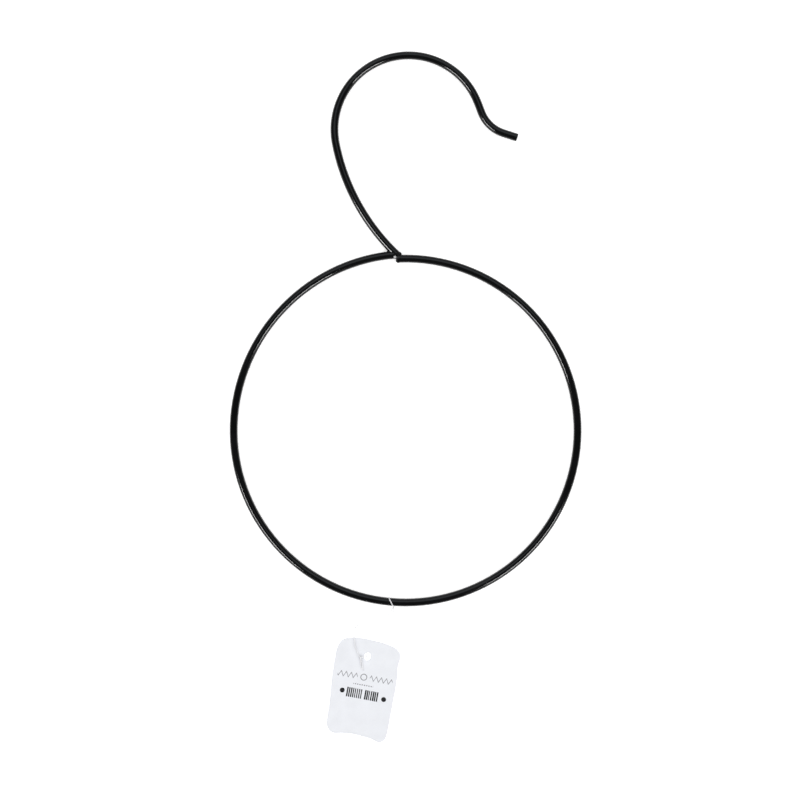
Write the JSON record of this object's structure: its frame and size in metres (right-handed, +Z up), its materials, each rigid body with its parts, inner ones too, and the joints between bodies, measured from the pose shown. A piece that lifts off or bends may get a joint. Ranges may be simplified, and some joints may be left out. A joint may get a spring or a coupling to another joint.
{
  "type": "ring hanger",
  "caption": "Flat black wire ring with a welded open hook at the top and a white card swing tag on a thin white string at the bottom.",
  "frame": {"origin": "on the surface that the hanger lies on, under the middle of the outline of its ring and hook", "axes": "+Z up, out of the ring's face; +Y from the ring towards the hook; +X to the right, seen from above"},
  "size_m": [0.2, 0.3921, 0.0059],
  "materials": {
    "black_coat": "semi-gloss powder coat on steel wire",
    "white_string": "twisted cotton",
    "white_card": "matte uncoated card"
  },
  "bodies": {
    "hanger": {"ring_wire": "black_coat", "hook_wire": "black_coat", "weld_bead": "black_coat"},
    "hitch": {"string_hitch": "white_string"},
    "string": {"string_front": "white_string", "string_back": "white_string", "string_knot": "white_string"},
    "tag": {"tag_card": "white_card"}
  },
  "joints": [
    {"name": "hitch_round_ring", "type": "hinge", "parent": "hanger", "child": "hitch", "pos_m": [0, -0.05785, 0.00295], "axis": [0, 0, 1], "range_deg": [-105, 145]},
    {"name": "string_swing", "type": "hinge", "parent": "hitch", "child": "string", "pos_m": [-0.00825, -0.1553, 0.00295], "axis": [-0.9964, 0.0844, 0], "range_deg": [0, 178]},
    {"name": "tag_turn", "type": "hinge", "parent": "string", "child": "tag", "pos_m": [-0.0217, -0.1865, 0.00108], "axis": [0.0035, 0.0189, -0.9998], "range_deg": [-60, 6]}
  ]
}
